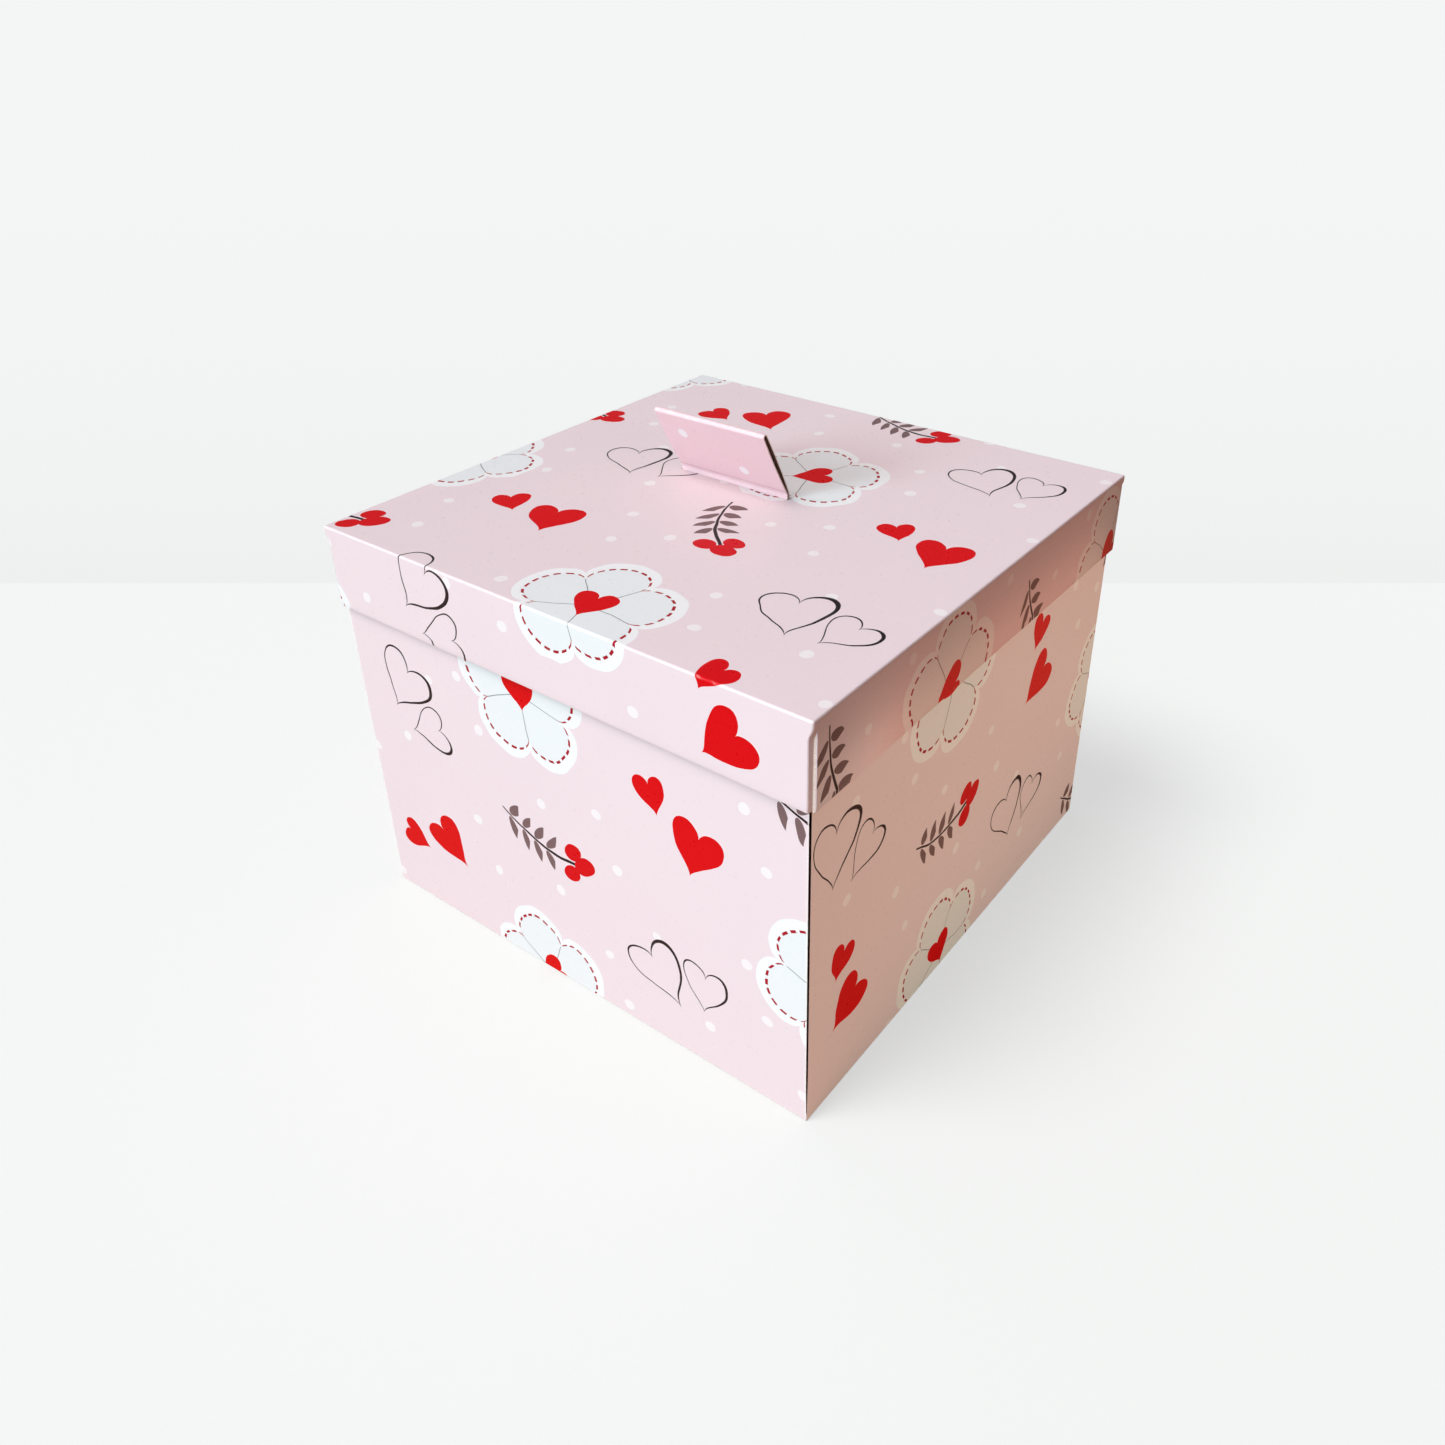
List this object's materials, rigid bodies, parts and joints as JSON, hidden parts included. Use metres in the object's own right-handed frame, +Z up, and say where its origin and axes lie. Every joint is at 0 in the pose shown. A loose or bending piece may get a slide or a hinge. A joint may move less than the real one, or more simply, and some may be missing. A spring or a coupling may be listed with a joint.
{
  "type": "explosion gift box",
  "caption": "Printed card gift box with a lift-off lid and nested layers of fall-open walls round a small lidded box.",
  "frame": {"origin": "middle of the base's underside, on the surface that the box stands on", "axes": "+Z up; -Y is the way the front wall looks; +X is the way the right wall looks"},
  "size_m": [0.15, 0.15, 0.1356],
  "materials": {
    "printed_pink_card": "satin laminated print",
    "page_card": "matte",
    "rose_card": "matte",
    "pocket_card": "matte",
    "cream_card": "matte",
    "red_card": "satin"
  },
  "bodies": {
    "base": {"base_floor": "printed_pink_card", "base_page": "page_card", "middle_floor": "rose_card", "middle_page": "page_card", "inner_floor": "cream_card", "gift_tray": "cream_card"},
    "lid": {"lid": "printed_pink_card", "handle_flanges": "printed_pink_card"},
    "handle": {"handle_loop": "printed_pink_card"},
    "gift_lid": {"gift_lid": "red_card"},
    "wall_front": {"wall_front": "printed_pink_card", "wall_page_front": "page_card"},
    "wall_right": {"wall_right": "printed_pink_card", "wall_page_right": "page_card"},
    "wall_back": {"wall_back": "printed_pink_card", "wall_page_back": "page_card"},
    "wall_left": {"wall_left": "printed_pink_card", "wall_page_left": "page_card"},
    "middle_leaf_front": {"middle_leaf_front": "rose_card", "pocket_front": "pocket_card"},
    "middle_leaf_right": {"middle_leaf_right": "rose_card", "pocket_right": "pocket_card"},
    "middle_leaf_back": {"middle_leaf_back": "rose_card", "pocket_back": "pocket_card"},
    "middle_leaf_left": {"middle_leaf_left": "rose_card", "pocket_left": "pocket_card"},
    "inner_leaf_front": {"inner_leaf_front": "cream_card", "photo_mat_front": "rose_card"},
    "inner_leaf_right": {"inner_leaf_right": "cream_card", "photo_mat_right": "rose_card"},
    "inner_leaf_back": {"inner_leaf_back": "cream_card", "photo_mat_back": "rose_card"},
    "inner_leaf_left": {"inner_leaf_left": "cream_card", "photo_mat_left": "rose_card"}
  },
  "joints": [
    {"name": "lid_lift", "type": "slide", "parent": "base", "child": "lid", "axis": [0, 0, 1], "range_m": [0, 0.3]},
    {"name": "handle_tilt", "type": "hinge", "parent": "lid", "child": "handle", "pos_m": [-0.0085, 0.0075, 0.1164], "axis": [1, 0, 0], "range_deg": [-110, 55]},
    {"name": "gift_lid_lift", "type": "slide", "parent": "base", "child": "gift_lid", "axis": [0, 0, 1], "range_m": [0, 0.045]},
    {"name": "wall_front_fall", "type": "hinge", "parent": "base", "child": "wall_front", "pos_m": [0, -0.0736, 0], "axis": [1, 0, 0], "range_deg": [0, 90]},
    {"name": "wall_right_fall", "type": "hinge", "parent": "base", "child": "wall_right", "pos_m": [0.0736, 0, 0], "axis": [0, 1, 0], "range_deg": [0, 90]},
    {"name": "wall_back_fall", "type": "hinge", "parent": "base", "child": "wall_back", "pos_m": [0, 0.0736, 0], "axis": [-1, 0, 0], "range_deg": [0, 90]},
    {"name": "wall_left_fall", "type": "hinge", "parent": "base", "child": "wall_left", "pos_m": [-0.0736, 0, 0], "axis": [0, -1, 0], "range_deg": [0, 90]},
    {"name": "middle_leaf_front_fall", "type": "hinge", "parent": "base", "child": "middle_leaf_front", "pos_m": [0, -0.0681, 0.0016], "axis": [1, 0, 0], "range_deg": [0, 90]},
    {"name": "middle_leaf_right_fall", "type": "hinge", "parent": "base", "child": "middle_leaf_right", "pos_m": [0.0681, 0, 0.0016], "axis": [0, 1, 0], "range_deg": [0, 90]},
    {"name": "middle_leaf_back_fall", "type": "hinge", "parent": "base", "child": "middle_leaf_back", "pos_m": [0, 0.0681, 0.0016], "axis": [-1, 0, 0], "range_deg": [0, 90]},
    {"name": "middle_leaf_left_fall", "type": "hinge", "parent": "base", "child": "middle_leaf_left", "pos_m": [-0.0681, 0, 0.0016], "axis": [0, -1, 0], "range_deg": [0, 90]},
    {"name": "inner_leaf_front_fall", "type": "hinge", "parent": "base", "child": "inner_leaf_front", "pos_m": [0, -0.0626, 0.003], "axis": [1, 0, 0], "range_deg": [0, 90]},
    {"name": "inner_leaf_right_fall", "type": "hinge", "parent": "base", "child": "inner_leaf_right", "pos_m": [0.0626, 0, 0.003], "axis": [0, 1, 0], "range_deg": [0, 90]},
    {"name": "inner_leaf_back_fall", "type": "hinge", "parent": "base", "child": "inner_leaf_back", "pos_m": [0, 0.0626, 0.003], "axis": [-1, 0, 0], "range_deg": [0, 90]},
    {"name": "inner_leaf_left_fall", "type": "hinge", "parent": "base", "child": "inner_leaf_left", "pos_m": [-0.0626, 0, 0.003], "axis": [0, -1, 0], "range_deg": [0, 90]}
  ],
  "couplings": [
    {"joint": "wall_front_fall", "follows": "lid_lift", "rad_per_m": 5.2359},
    {"joint": "wall_right_fall", "follows": "lid_lift", "rad_per_m": 5.2359},
    {"joint": "wall_back_fall", "follows": "lid_lift", "rad_per_m": 5.2359},
    {"joint": "wall_left_fall", "follows": "lid_lift", "rad_per_m": 5.2359},
    {"joint": "middle_leaf_front_fall", "follows": "lid_lift", "rad_per_m": 5.2359},
    {"joint": "middle_leaf_right_fall", "follows": "lid_lift", "rad_per_m": 5.2359},
    {"joint": "middle_leaf_back_fall", "follows": "lid_lift", "rad_per_m": 5.2359},
    {"joint": "middle_leaf_left_fall", "follows": "lid_lift", "rad_per_m": 5.2359},
    {"joint": "inner_leaf_front_fall", "follows": "lid_lift", "rad_per_m": 5.2359},
    {"joint": "inner_leaf_right_fall", "follows": "lid_lift", "rad_per_m": 5.2359},
    {"joint": "inner_leaf_back_fall", "follows": "lid_lift", "rad_per_m": 5.2359},
    {"joint": "inner_leaf_left_fall", "follows": "lid_lift", "rad_per_m": 5.2359}
  ]
}
